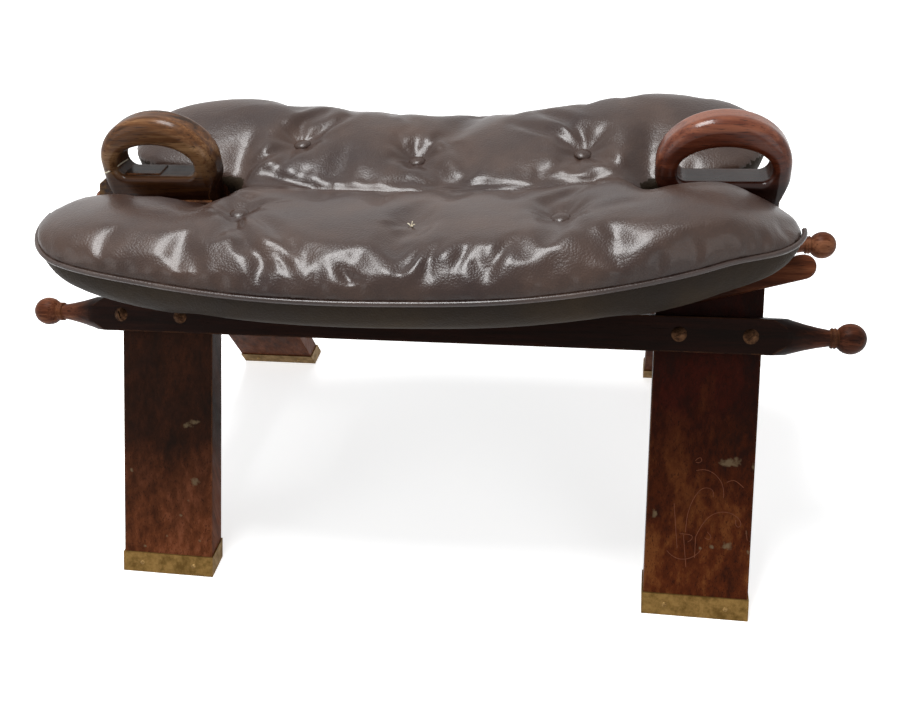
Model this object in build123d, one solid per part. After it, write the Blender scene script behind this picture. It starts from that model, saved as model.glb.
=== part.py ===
from build123d import *
import os
from math import cos, radians, sin, sqrt, tan

# Camel saddle stool: two A-shaped ends of splayed leg boards, each topped by a carved loop pommel.
# Two straight rails with turned ball ends and two dipping slats join the ends. A loose cushion of two
# lobes lies across the slats, with its neck between the pommels.
# X runs along the stool to the right, +Y to its rear side, +Z up. The origin is on the floor, under
# the centre. Lengths are in millimetres and angles in degrees.

# Leg boards
foot_spread = 352.0  # across the outer faces of a front and a rear leg, at the floor
leg_splay_angle = 29.3  # lean of a board from the vertical
leg_gap = 371.5  # between the inner edges of the left and right legs
leg_width = 82.0
leg_thickness = 20.0

# Brass foot bands, folded round the foot with a sole
band_wall = 1.0
band_height = 15.0
nail_head_radius = 1.9
nail_head_height = 0.9
nail_shank_radius = 0.8
nail_shank_length = 9.0
nail_edge_distance = 17.0
nail_height = 8.0  # up the leg's face, from the floor

# Pommels: a loop for the hand, on a base block between the tops of two legs
pommel_width = 101.5
pommel_outset = 4.5  # from the middle of the legs, towards the stool's end
pommel_thickness = 32.0
pommel_base_width = 87.0
pommel_base_bottom_z = 246.0
pommel_chamfer_bottom_z = 290.0
pommel_chamfer_top_z = 306.0
loop_shoulder_z = 315.0  # where the upright sides of the loop turn into its rounded top
loop_rise = 40.5
loop_edge_radius = 10.5
hole_width = 70.0
hole_outset = 1.0  # from the middle of the pommel, towards the stool's end
hole_bottom_z = 305.0
hole_shoulder_z = 314.0
hole_rise = 18.7
hole_corner_radius = 8.0
hole_edge_radius = 5.0
heel_reach = 58.0  # of the heel at the outer end of the left pommel's base, from the pommel's middle
heel_flare = 4.5
heel_thickness = 18.0
heel_root_z = 262.0
heel_flare_z = 280.0
heel_shoulder_z = 296.0
heel_top_z = 306.0

# Rails, squared in the middle and turned at both ends
rail_place = 229.2  # of the rail's centre line, up the leg's face from the floor
rail_height = 27.4
rail_thickness = 25.4
ball_spacing = 660.0  # between the centres of a rail's two balls
ball_radius = 11.8
neck_radius = 6.2
bead_radius = 7.9
bead_width = 2.3
taper_length = 46.0
taper_start_radius = 19.5
taper_middle_shares = (0.4, 0.48)  # of the taper's length, and of its drop in radius

# Seat slats: level in the middle, rising to both ends
slat_reaches = {"front": (310.0, 303.0), "rear": (328.0, 284.0)}  # to the left and to the right tip
slat_height = 19.0
slat_thickness = 14.0
slat_level_length = 266.0
slat_bend_radius = 400.0
slat_rise_angle = 15.0
slat_rail_gap = 0.9
slat_edge_radius = 3.0

# Screws
rail_screw_spacing = 53.0
rail_screw_outset = 3.0  # of each pair, from the middle of its leg towards the stool's end
rail_screw_head_radius = 5.9
rail_screw_head_height = 2.6
rail_screw_shank_radius = 2.4
rail_screw_length = 38.0
flat_screw_spacing = 44.0
flat_screw_head_radius = 4.2
flat_screw_head_height = 2.6
flat_screw_shank_radius = 2.0
slat_screw_length = 27.0
top_screw_length = 24.0
top_screw_place = 309.0  # of the screws into the pommel base, up the leg's face
screw_slot_width = 1.4
screw_slot_depth = 1.3

# Cushion: two crowned lobes that meet in a crease
cushion_length = 576.0
cushion_depth = 326.0
seam_above_slat = 42.5  # from the slat's top edge to the seam, at mid length
seam_rise = 24.0  # of the seam, from mid length to the ends
cushion_crown = 25.0
cushion_belly = 36.0
slat_press = 1.5  # how far the slats press into the underside
belly_sag = 2.0
lobe_overlap = 6.0
neck_half_width = 170.0
pommel_clearance = 5.0  # between the lobes and the faces of the pommels
notch_corner_radius = 12.0
seat_clearance = 0.4  # between the cushion and what carries it
cover_thickness = 2.0
piping_width = 3.0
piping_height = 5.0

# Shares of half the length, half the depth, the crown and the belly, from mid length to the end
station_shares = (0.0, 0.2, 0.4, 0.58, 0.74, 0.87, 0.96, 1.0)
outer_edge_shares = (1.0, 0.993, 0.975, 0.94, 0.88, 0.8, 0.725, 0.64)
crown_shares = (1.0, 1.06, 1.13, 1.16, 1.1, 0.9, 0.55, 0.2)
crease_shares = (-0.16, -0.12, -0.03, 0.07, 0.17, 0.25, 0.2, 0.1)
belly_shares = (1.0, 1.0, 1.0, 0.97, 0.92, 0.8, 0.58, 0.3)
end_inner_edge_shares = (-0.02, 0.12, 0.32)
end_inner_drop_shares = (1.1, 0.8, 0.4)

# Shape of a section, in shares of its width and of its heights above and below the seam
top_roll_share = 0.17
belly_roll_share = 0.15
top_roll_middle_shares = (0.38, 0.69)
belly_roll_middle_shares = (0.3, 0.6)
crown_middle_shares = (0.42, 0.85)

# Buttons, sewn down in tufts
button_x_shares = (-0.465, -0.055, 0.42)
button_y_share = 0.42
button_radius = 8.5
button_height = 5.0
button_dome_radius = 12.0
tuft_radius = 32.0
tuft_depth = 8.0
twine_radius = 0.8
twine_stub = 4.0

overrun = 30.0  # of every cutting shape, past what it cuts

splay_sin = sin(radians(leg_splay_angle))
splay_cos = cos(radians(leg_splay_angle))
splay_tan = tan(radians(leg_splay_angle))
half_spread = foot_spread / 2
leg_middle_x = leg_gap / 2 + leg_width / 2
sides = {"front": -1, "rear": 1}
ends = {"left": -1, "right": 1}


def on_side(shape, side):
    """A shape drawn for the rear is mirrored for the front."""
    return shape if side > 0 else mirror(shape, about=Plane.XZ)


def on_end(shape, end):
    """A shape drawn for the right end is mirrored for the left."""
    return shape if end > 0 else mirror(shape, about=Plane.YZ)


def on_leg_face(shape):
    """Lay a shape on the outer face of the rear legs: its Y points out of the face, its Z up it."""
    return Pos(0, half_spread, 0) * Rot(leg_splay_angle, 0, 0) * shape


def leg_outline(bottom_z, top_y, outset):
    """Outline in YZ of a rear leg board that is cut level at its foot and upright at its top."""
    level_thickness = leg_thickness / splay_cos
    level_outset = outset / splay_cos
    outer_foot = half_spread + level_outset
    inner_foot = half_spread - level_thickness - level_outset
    return [
        (outer_foot - bottom_z * splay_tan, bottom_z),
        (top_y, (outer_foot - top_y) / splay_tan),
        (top_y, (inner_foot - top_y) / splay_tan),
        (inner_foot - bottom_z * splay_tan, bottom_z),
    ]


def along_x(outline, low_x, high_x):
    """A prism along X whose outline is given in Y and Z."""
    face = make_face(Polyline([(low_x, y, z) for y, z in outline], close=True))
    return extrude(face, amount=high_x - low_x, dir=(1, 0, 0))


# Leg boards and foot bands


def leg_board(end):
    """A rear leg board at the left or the right end."""
    low_x = end * leg_middle_x - leg_width / 2
    return along_x(leg_outline(band_wall, pommel_thickness / 2, 0), low_x, low_x + leg_width)


def foot_band():
    outer = along_x(
        leg_outline(0, pommel_thickness / 2, band_wall),
        leg_gap / 2 - band_wall,
        leg_gap / 2 + leg_width + band_wall,
    )
    keep = Pos(leg_middle_x, half_spread, band_height / 2) * Box(leg_width * 2, leg_width * 2, band_height)
    return (outer & keep) - leg_board(ends["right"])


def nail():
    """A small domed nail along -Y, with the underside of its head at the origin."""
    dome_radius = (nail_head_radius**2 + nail_head_height**2) / (2 * nail_head_height)
    dome = Pos(0, 0, nail_head_height - dome_radius) * Sphere(dome_radius)
    above = Pos(0, 0, dome_radius) * Box(dome_radius * 4, dome_radius * 4, dome_radius * 2)
    shank = Pos(0, 0, -nail_shank_length / 2) * Cylinder(nail_shank_radius, nail_shank_length)
    return Rot(-90, 0, 0) * ((dome & above) + shank)


def band_nails():
    """The four nails of one foot, two in its outer face and two in its inner face."""
    nails = []
    reach = leg_width / 2 - nail_edge_distance
    for offset in (-reach, reach):
        outer = Pos(leg_middle_x + offset, band_wall, nail_height) * nail()
        inner_height = nail_height + leg_thickness * splay_tan
        inner_place = Pos(leg_middle_x + offset, -leg_thickness - band_wall, inner_height)
        inner = inner_place * Rot(0, 0, 180) * nail()
        nails += [on_leg_face(outer), on_leg_face(inner)]
    return nails


# Screws, drawn with the screw going into the leg along -Y


def round_screw(length):
    """A slotted round-head screw with the underside of its head at the origin."""
    dome_radius = (rail_screw_head_radius**2 + rail_screw_head_height**2) / (2 * rail_screw_head_height)
    dome = Pos(0, 0, rail_screw_head_height - dome_radius) * Sphere(dome_radius)
    above = Pos(0, 0, dome_radius) * Box(dome_radius * 4, dome_radius * 4, dome_radius * 2)
    shank = Pos(0, 0, -length / 2) * Cylinder(rail_screw_shank_radius, length)
    return Rot(-90, 0, 0) * ((dome & above) + shank)


def flat_screw(length):
    """A countersunk screw with the top of its head at the origin."""
    head = Pos(0, 0, -flat_screw_head_height / 2) * Cone(
        flat_screw_shank_radius, flat_screw_head_radius, flat_screw_head_height
    )
    shank = Pos(0, 0, -length / 2) * Cylinder(flat_screw_shank_radius, length)
    return Rot(-90, 0, 0) * (head + shank)


def slot(head_height, turn):
    """The driver slot of a screw whose head ends head_height above the origin."""
    cut = Box(rail_screw_head_radius * 4, overrun, screw_slot_width)
    return Rot(0, turn, 0) * Pos(0, head_height - screw_slot_depth + overrun / 2, 0) * cut


rail_slot_turns = {"left": (72.0, 15.0), "right": (-28.0, -42.0)}
flat_slot_turns = {"left": (35.0, -20.0), "right": (80.0, 10.0)}


def screw_pairs(spacing, outset, turns):
    """X of each screw of the pairs in the left and right legs, with the turn of its slot."""
    pairs = []
    for end, sign in ends.items():
        middle = sign * (leg_middle_x + outset)
        left_turn, right_turn = turns[end]
        pairs.append((middle - spacing / 2, left_turn))
        pairs.append((middle + spacing / 2, right_turn))
    return pairs


def rail_screws(side, slotted):
    screws = []
    for x, turn in screw_pairs(rail_screw_spacing, rail_screw_outset, rail_slot_turns):
        screw = round_screw(rail_screw_length)
        if slotted:
            screw -= slot(rail_screw_head_height, turn)
        placed = on_leg_face(Pos(x, rail_thickness, rail_place) * screw)
        screws.append(on_side(placed, sides[side]))
    return screws


def flat_screws(side, slotted, length, out, place_of):
    """Countersunk screws in pairs, out from the leg face, at the height that place_of gives for x."""
    screws = []
    for x, turn in screw_pairs(flat_screw_spacing, 0, flat_slot_turns):
        screw = flat_screw(length)
        if slotted:
            screw -= slot(0, turn)
        placed = on_leg_face(Pos(x, out, place_of(x)) * screw)
        screws.append(on_side(placed, sides[side]))
    return screws


def slat_screws(side, slotted):
    def middle_height(x):
        return slat_low_edge(x) + slat_height / 2

    return flat_screws(side, slotted, slat_screw_length, slat_thickness, middle_height)


def top_screws(side, slotted):
    return flat_screws(side, slotted, top_screw_length, 0, lambda x: top_screw_place)


# Rails


def turned_outline():
    """Half outline of a rail's turned shape, from its middle to the end of one ball."""
    ball_x = ball_spacing / 2
    ball_start = ball_x - sqrt(ball_radius**2 - neck_radius**2)
    taper_end = ball_start - 2 * bead_width
    taper_start = taper_end - taper_length
    length_share, drop_share = taper_middle_shares
    taper_middle = (
        taper_start + length_share * taper_length,
        neck_radius + drop_share * (taper_start_radius - neck_radius),
    )
    bead_joint = taper_end + bead_width
    curves = [
        Line((0, 0), (0, taper_start_radius)),
        Line((0, taper_start_radius), (taper_start, taper_start_radius)),
        ThreePointArc((taper_start, taper_start_radius), taper_middle, (taper_end, neck_radius)),
        ThreePointArc(
            (taper_end, neck_radius), (taper_end + bead_width / 2, bead_radius), (bead_joint, neck_radius)
        ),
        ThreePointArc(
            (bead_joint, neck_radius), (bead_joint + bead_width / 2, bead_radius), (ball_start, neck_radius)
        ),
        ThreePointArc((ball_start, neck_radius), (ball_x, ball_radius), (ball_x + ball_radius, 0)),
        Line((ball_x + ball_radius, 0), (0, 0)),
    ]
    return make_face(Wire(curves))


def rail():
    bar = Box(ball_spacing + 4 * ball_radius, rail_thickness, rail_height)
    half = revolve(turned_outline(), axis=Axis.X)
    turned = half + mirror(half, about=Plane.YZ)
    return on_leg_face(Pos(0, rail_thickness / 2, rail_place) * (bar & turned))


# Slats


def slat_low_level():
    """Height of the level stretch's lower edge, up the leg's face."""
    return rail_place + rail_height / 2 + slat_rail_gap


def slat_low_edge(x):
    """Height of a slat's lower edge up the leg's face, at a distance from the slat's middle."""
    past = abs(x) - slat_level_length / 2
    rise_sin = sin(radians(slat_rise_angle))
    bend_length = slat_bend_radius * rise_sin
    if past <= 0:
        return slat_low_level()
    if past <= bend_length:
        return slat_low_level() + slat_bend_radius - sqrt(slat_bend_radius**2 - past**2)
    bend_rise = slat_bend_radius * (1 - cos(radians(slat_rise_angle)))
    return slat_low_level() + bend_rise + (past - bend_length) * tan(radians(slat_rise_angle))


def slat_arm(reach, height):
    """Right half of a slat's outline in X and Z, from the middle of its lower edge to that of its upper."""
    rise = radians(slat_rise_angle)
    along = Vector(cos(rise), 0, sin(rise))
    across = Vector(-sin(rise), 0, cos(rise)) * height
    nose = height / 2
    level = slat_level_length / 2
    top_radius = slat_bend_radius - height
    bend = Vector(level + slat_bend_radius * sin(rise), 0, slat_bend_radius * (1 - cos(rise)))
    low_middle = Vector(
        level + slat_bend_radius * sin(rise / 2), 0, slat_bend_radius * (1 - cos(rise / 2))
    )
    top_middle = Vector(level + top_radius * sin(rise / 2), 0, slat_bend_radius - top_radius * cos(rise / 2))
    run = (reach - nose - bend.X + nose * sin(rise)) / cos(rise)
    tip = bend + along * run
    return [
        Line((0, 0, 0), (level, 0, 0)),
        ThreePointArc((level, 0, 0), low_middle, bend),
        Line(bend, tip),
        ThreePointArc(tip, tip + across / 2 + along * nose, tip + across),
        Line(tip + across, bend + across),
        ThreePointArc(bend + across, top_middle, (level, 0, height)),
        Line((level, 0, height), (0, 0, height)),
    ]


def slat(side, grow=0.0):
    """A slat on its side's leg faces, made larger by grow at its top and on both faces."""
    left_reach, right_reach = slat_reaches[side]
    left_arm = [mirror(curve, about=Plane.YZ).edge() for curve in slat_arm(left_reach, slat_height + grow)]
    outline = make_face(Wire(left_arm + slat_arm(right_reach, slat_height + grow)))
    blank = extrude(outline, amount=slat_thickness + 2 * grow, dir=(0, 1, 0))
    if grow == 0:
        outer_edges = blank.faces().sort_by(Axis.Y)[-1].edges()
        blank = fillet(outer_edges, slat_edge_radius)
    placed = on_leg_face(Pos(0, -grow, slat_low_level()) * blank)
    return on_side(placed, sides[side])


def slat_top_front(x):
    """Y and Z of the upper outer edge of the slats, at a distance from their middle."""
    place = slat_low_edge(x) + slat_height
    y = half_spread - place * splay_sin + slat_thickness * splay_cos
    z = place * splay_cos + slat_thickness * splay_sin
    return y, z


# Pommels


def arch(width, bottom_z, shoulder_z, rise):
    """An outline in X and Z with upright sides, under a top of half an ellipse."""
    top = Pos(0, shoulder_z) * Ellipse(width / 2, rise)
    upper_half = Pos(0, shoulder_z + rise / 2) * Rectangle(width, rise)
    upright_sides = Pos(0, (bottom_z + shoulder_z) / 2) * Rectangle(width, shoulder_z - bottom_z)
    return (top & upper_half) + upright_sides


def pommel_base_outline():
    half_top = pommel_width / 2
    half_base = pommel_base_width / 2
    outline = [
        (-half_base, pommel_base_bottom_z),
        (half_base, pommel_base_bottom_z),
        (half_base, pommel_chamfer_bottom_z),
        (half_top, pommel_chamfer_top_z),
        (-half_top, pommel_chamfer_top_z),
        (-half_base, pommel_chamfer_bottom_z),
    ]
    return make_face(Polyline(outline, close=True))


def upright_plate(outline, half_thickness):
    """A plate in the XZ plane from an outline drawn in the XY plane."""
    return Rot(90, 0, 0) * extrude(outline, amount=half_thickness, both=True)


def pommel_heel():
    """A tongue left standing at the outer end of the base, thinner than it."""
    outline = [
        (0, heel_root_z),
        (pommel_base_width / 2, heel_root_z),
        (heel_reach + heel_flare, heel_flare_z),
        (heel_reach, heel_shoulder_z),
        (pommel_base_width / 2, heel_top_z),
        (0, heel_top_z),
    ]
    return upright_plate(make_face(Polyline(outline, close=True)), heel_thickness / 2)


def pommel(has_heel):
    loop = arch(pommel_width, pommel_chamfer_top_z, loop_shoulder_z, loop_rise)
    block = upright_plate(loop + pommel_base_outline(), pommel_thickness / 2)
    hole = upright_plate(arch(hole_width, hole_bottom_z, hole_shoulder_z, hole_rise), pommel_thickness)
    hole = fillet(hole.edges().filter_by(Axis.Y).sort_by(Axis.Z)[:2], hole_corner_radius)
    block -= Pos(hole_outset, 0, 0) * hole
    chamfer_middle_z = (pommel_chamfer_bottom_z + pommel_chamfer_top_z) / 2
    rims = [edge for face in block.faces().filter_by(Axis.Y) for edge in face.outer_wire().edges()]
    loop_edges = [edge for edge in rims if edge.bounding_box().min.Z > chamfer_middle_z]
    block = fillet(loop_edges, loop_edge_radius)
    hole_rims = [wire for face in block.faces().filter_by(Axis.Y) for wire in face.inner_wires()]
    block = fillet([edge for rim in hole_rims for edge in rim.edges()], hole_edge_radius)
    if has_heel:
        block += pommel_heel() - upright_plate(loop, pommel_thickness)
    return Pos(leg_middle_x + pommel_outset, 0, 0) * block


# Cushion


def seam_arc_radius():
    half = cushion_length / 2
    return (half**2 + seam_rise**2) / (2 * seam_rise)


def seam_low_z():
    return slat_top_front(0)[1] + seam_above_slat


def seam_height(x):
    return seam_low_z() + seam_arc_radius() - sqrt(seam_arc_radius() ** 2 - x**2)


def lobe_section(station, inset):
    """Section of the rear lobe across X, drawn in by inset, as one face."""
    x = (cushion_length / 2 - inset) * station_shares[station]
    seam_z = seam_height(x)
    outer_y = cushion_depth / 2 * outer_edge_shares[station] - inset
    top_z = seam_z + cushion_crown * crown_shares[station] - inset
    crease_z = seam_z + cushion_crown * crease_shares[station] - inset
    belly_z = seam_z - cushion_belly * belly_shares[station] + inset
    first_end = len(station_shares) - len(end_inner_edge_shares)
    if station < first_end:
        inner_y = -lobe_overlap
        belly_y = outer_y - belly_roll_share * (outer_y - inner_y)
        contact_y, slat_z = slat_top_front(x)
        contact_z = slat_z - slat_press + belly_sag + inset
        inner_z = contact_z - (belly_z - contact_z) / (belly_y - contact_y) * (contact_y - inner_y)
    else:
        inner_y = cushion_depth / 2 * end_inner_edge_shares[station - first_end] + inset
        belly_y = outer_y - belly_roll_share * (outer_y - inner_y)
        inner_z = seam_z - cushion_belly * end_inner_drop_shares[station - first_end] + inset
    width = outer_y - inner_y
    roll_in, roll_up = top_roll_middle_shares
    under_in, under_down = belly_roll_middle_shares
    middle_out, middle_up = crown_middle_shares
    roll_y = outer_y - top_roll_share * width
    seam = (x, outer_y, seam_z)
    roll_top = (x, roll_y, top_z)
    crease = (x, inner_y, crease_z)
    inner = (x, inner_y, inner_z)
    belly = (x, belly_y, belly_z)
    roll_middle = (x, outer_y - roll_in * (outer_y - roll_y), seam_z + roll_up * (top_z - seam_z))
    top_middle = (x, inner_y + middle_out * width, crease_z + middle_up * (top_z - crease_z))
    belly_middle = (x, (inner_y + belly_y) / 2, (inner_z + belly_z) / 2 - belly_sag)
    under_middle = (x, outer_y - under_in * (outer_y - belly_y), seam_z - under_down * (seam_z - belly_z))
    curves = [
        ThreePointArc(seam, roll_middle, roll_top),
        ThreePointArc(roll_top, top_middle, crease),
        Line(crease, inner),
        ThreePointArc(inner, belly_middle, belly),
        ThreePointArc(belly, under_middle, seam),
    ]
    return make_face(Wire(curves))


def plain_lobes(inset):
    """Both lobes, meeting in the crease, before anything is pressed into them."""
    right_sections = [lobe_section(station, inset) for station in range(len(station_shares))]
    left_sections = [mirror(section, about=Plane.YZ) for section in right_sections[:0:-1]]
    behind = Pos(0, cushion_depth / 2, seam_low_z()) * Box(cushion_length * 2, cushion_depth, cushion_length)
    lobe = loft(left_sections + right_sections) & behind
    return lobe + mirror(lobe, about=Plane.XZ)


def leg_room(grow):
    """Space kept for the tops of one end's legs, larger by grow."""
    outline = leg_outline(0, 0, seat_clearance + grow)
    peak = outline[1]
    foot = outline[0]
    wedge = [foot, peak, (-foot[0], foot[1])]
    reach = seat_clearance + grow
    return along_x(wedge, leg_gap / 2 - reach, leg_gap / 2 + leg_width + reach)


def pommel_notch(inset):
    """Space kept for one pommel between the lobes' ends."""
    half_gap = pommel_thickness / 2 + pommel_clearance + inset
    start = neck_half_width - inset
    length = cushion_length / 2 - start + overrun
    blank = Box(length, 2 * half_gap, cushion_length)
    corner = notch_corner_radius + inset
    blank = fillet(blank.edges().filter_by(Axis.Z).sort_by(Axis.X)[:2], corner)
    return Pos(start + length / 2, 0, seam_low_z()) * blank


def button_places():
    """Side, X and Y of every tuft, with whether it still has its button."""
    places = []
    for side in sides.values():
        for number, share in enumerate(button_x_shares):
            has_button = not (side == sides["front"] and number == 1)
            y = side * cushion_depth / 2 * button_y_share
            places.append((share * cushion_length / 2, y, has_button))
    return places


def upright_hits(shape, x, y):
    """Heights where an upright line meets a shape, from low to high."""
    line = Axis((x, y, 0), (0, 0, 1))
    return sorted(point.Z for point, normal in shape.find_intersection_points(line))


def tuft_ball(x, y, surface_z, inset):
    centre_z = surface_z - tuft_depth + tuft_radius
    return Pos(x, y, centre_z) * Sphere(tuft_radius + inset)


def cushion_volume(inset, tuft_tops):
    """The cushion's outer form drawn in by inset, with all that presses into it."""
    volume = plain_lobes(inset)
    grow = max(inset, 0)
    cutters = [tuft_ball(x, y, top, inset) for x, y, top in tuft_tops]
    for end in ends.values():
        cutters += [on_end(leg_room(grow), end), on_end(pommel_notch(inset), end)]
    for side in sides:
        cutters.append(slat(side, seat_clearance + grow))
    return volume - cutters


def above_seam():
    """Everything above the seam's curved surface, over the whole cushion."""
    half = cushion_length / 2 + overrun
    curves = [
        ThreePointArc((-half, 0, seam_height(half)), (0, 0, seam_low_z()), (half, 0, seam_height(half))),
        Line((half, 0, seam_height(half)), (half, 0, seam_low_z() + cushion_length)),
        Line((half, 0, seam_low_z() + cushion_length), (-half, 0, seam_low_z() + cushion_length)),
        Line((-half, 0, seam_low_z() + cushion_length), (-half, 0, seam_height(half))),
    ]
    return extrude(make_face(Wire(curves)), amount=cushion_depth, both=True)


def crease_room():
    """Space round the crease, which dips below the seam's surface at mid length."""
    length = 2 * (neck_half_width - notch_corner_radius)
    height = cushion_length / 2
    low_z = seam_low_z() - cushion_belly / 2
    return Pos(0, 0, low_z + height / 2) * Box(length, cushion_depth / 3, height)


def button(x, y, surface_z):
    """A covered button: its underside follows the tuft, its top is a low dome."""
    low_z = surface_z - tuft_depth
    column = Pos(x, y, low_z + button_height) * Cylinder(button_radius, 2 * button_height)
    dome = Pos(x, y, low_z + button_height - button_dome_radius) * Sphere(button_dome_radius)
    return column & tuft_ball(x, y, surface_z, 0) & dome


def twine(x, y, low_z, high_z):
    height = high_z - low_z
    return Pos(x, y, low_z + height / 2) * Cylinder(twine_radius, height)


def cushion_parts():
    lobes = plain_lobes(0)
    tuft_tops = []
    twine_ends = []
    for x, y, has_button in button_places():
        heights = upright_hits(lobes, x, y)
        tuft_tops.append((x, y, heights[-1]))
        twine_ends.append((heights[0], heights[-1] - tuft_depth))
    outer = cushion_volume(0, tuft_tops)
    filling = cushion_volume(cover_thickness, tuft_tops)
    swollen = cushion_volume(-piping_width, tuft_tops)
    above = above_seam()
    covers = outer - filling
    top_cover = covers & (above + crease_room())
    underside = covers - (above + crease_room())
    welt_band = (Pos(0, 0, -piping_height / 2) * above) - (Pos(0, 0, piping_height / 2) * above)
    notches = [on_end(pommel_notch(0), end) for end in ends.values()]
    piping = (swollen & welt_band) - [outer, crease_room(), *notches]
    piping_front, piping_rear = piping.solids().sort_by(Axis.Y)
    buttons = []
    twines = []
    for (x, y, top), (low_z, high_z), place in zip(tuft_tops, twine_ends, button_places()):
        if place[2]:
            buttons.append(button(x, y, top))
            twines.append(twine(x, y, low_z, high_z))
        else:
            twines.append(twine(x, y, low_z, high_z + twine_stub))
    return {
        "cushion_top_cover": top_cover - twines,
        "cushion_underside": underside - twines,
        "cushion_filling": filling - twines,
        "cushion_piping_front": piping_front,
        "cushion_piping_rear": piping_rear,
        "cushion_buttons": buttons,
        "cushion_twines": twines,
    }


# Assembly


def frame_parts():
    parts = {}
    nails = []
    for side in sides:
        plain = rail_screws(side, False) + slat_screws(side, False) + top_screws(side, False)
        parts[f"rail_{side}"] = on_side(rail(), sides[side]) - rail_screws(side, False)
        parts[f"slat_{side}"] = slat(side) - slat_screws(side, False)
        parts[f"rail_screws_{side}"] = rail_screws(side, True)
        parts[f"slat_screws_{side}"] = slat_screws(side, True)
        parts[f"top_screws_{side}"] = top_screws(side, True)
        for end in ends:
            foot_nails = [on_end(on_side(one, sides[side]), ends[end]) for one in band_nails()]
            board = on_side(leg_board(ends[end]), sides[side])
            band = on_end(on_side(foot_band(), sides[side]), ends[end])
            parts[f"leg_{side}_{end}"] = board - (plain + foot_nails)
            parts[f"foot_band_{side}_{end}"] = band - foot_nails
            nails += foot_nails
    parts["foot_band_nails"] = nails
    all_top_screws = top_screws("front", False) + top_screws("rear", False)
    for end in ends:
        parts[f"pommel_{end}"] = on_end(pommel(end == "left"), ends[end]) - all_top_screws
    return parts


def solids_of(shape):
    """A node's shape, or list of shapes, as a plain list of solids."""
    shapes = shape if isinstance(shape, list) else [shape]
    return [solid for one in shapes for solid in one.solids()]


os.makedirs("parts", exist_ok=True)
for name, shape in {**frame_parts(), **cushion_parts()}.items():
    solids = solids_of(shape)
    export_step(solids[0] if len(solids) == 1 else Compound(children=solids), f"parts/{name}.step")
    print(name, len(solids), "solids", round(sum(solid.volume for solid in solids)), "mm3")
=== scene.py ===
# %% [markdown]
# A camel saddle stool: a low frame of stained hardwood with two loop pommels, and a long leather
# cushion lying across it. The frame, screws and foot bands come from the CAD model and keep their
# shapes. They need finishes, and the cushion needs its real form: tufted and creased leather.

# %% Load the frame
import math

import bmesh
import bpy
import numpy as np
from mathutils import Matrix, Vector


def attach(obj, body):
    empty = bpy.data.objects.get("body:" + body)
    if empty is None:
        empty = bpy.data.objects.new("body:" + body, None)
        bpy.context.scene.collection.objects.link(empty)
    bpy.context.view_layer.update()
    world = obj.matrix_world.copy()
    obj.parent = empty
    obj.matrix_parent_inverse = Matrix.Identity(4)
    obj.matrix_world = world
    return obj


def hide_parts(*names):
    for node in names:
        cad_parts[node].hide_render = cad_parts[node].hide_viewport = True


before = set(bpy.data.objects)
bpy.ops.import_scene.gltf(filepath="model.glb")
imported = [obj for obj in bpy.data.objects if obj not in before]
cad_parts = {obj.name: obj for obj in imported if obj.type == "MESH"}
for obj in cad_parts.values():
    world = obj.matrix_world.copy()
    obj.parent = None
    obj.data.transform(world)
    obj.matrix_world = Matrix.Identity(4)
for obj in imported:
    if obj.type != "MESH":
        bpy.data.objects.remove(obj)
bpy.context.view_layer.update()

mm = 0.001

# %% [markdown]
# The camera stands where the photo was taken from: close, a little to the right, looking down. A
# camera could be aimed with a Track To constraint, but plain place and turn values are easier to
# keep, because a close camera changes a lot with every centimetre.


# %% Camera
def in_scene(name, data):
    """A new object for a mesh, lamp, camera or curve, linked into the scene."""
    made = bpy.data.objects.new(name, data)
    bpy.context.scene.collection.objects.link(made)
    return made


camera_turn = (55.514, 3.663, 9.420)  # degrees about X, Y and Z
camera = in_scene("photo_camera", bpy.data.cameras.new("photo_camera"))
camera.data.lens = 39.32
camera.data.sensor_width = 36.0
camera.location = (0.1599, -0.7316, 0.6313)
camera.rotation_euler = [math.radians(angle) for angle in camera_turn]
bpy.context.scene.camera = camera
bpy.context.scene.view_settings.view_transform = "Standard"
print("camera", tuple(round(value, 4) for value in camera.location), "lens", camera.data.lens)

# %% [markdown]
# Every material below is a small tree of shader nodes. Colours are easiest to pick as the hex codes
# of a colour picker, but a shader wants linear light, so one function does that sum. Another adds a
# node, sets its settings and feeds its inputs, which keeps each tree readable from top to bottom.


# %% Node helpers
def linear(hex_code):
    """An sRGB hex colour as the linear RGBA that shaders use."""
    channels = [int(hex_code[place:place + 2], 16) / 255 for place in (0, 2, 4)]
    return [c / 12.92 if c <= 0.04045 else ((c + 0.055) / 1.055) ** 2.4 for c in channels] + [1.0]


def feed(tree, node, inputs):
    """Links each named input to the output that feeds it, or sets it to a value."""
    for socket, value in inputs.items():
        if isinstance(value, bpy.types.NodeSocket):
            tree.links.new(value, node.inputs[socket])
        else:
            node.inputs[socket].default_value = value


def add(tree, kind, inputs=None, **settings):
    """Adds a shader node with its settings and inputs."""
    made = tree.nodes.new("ShaderNode" + kind)
    for name, value in settings.items():
        setattr(made, name, value)
    feed(tree, made, inputs or {})
    return made


def calculate(tree, operation, *values):
    """The result of a Math node on values or outputs."""
    return add(tree, "Math", dict(enumerate(values)), operation=operation).outputs[0]


def material(name):
    """A new material with its tree and its Principled shader."""
    made = bpy.data.materials.new(name)
    made.use_nodes = True
    return made, made.node_tree, made.node_tree.nodes["Principled BSDF"]


# %% [markdown]
# The stool stands in front of plain white. A white background that is really bright would wash the
# object out, so the world is white only to the camera, in reflections and through glass, and lights
# the stool as a much dimmer fill. The Light Path node tells which kind of ray is asking.


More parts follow.
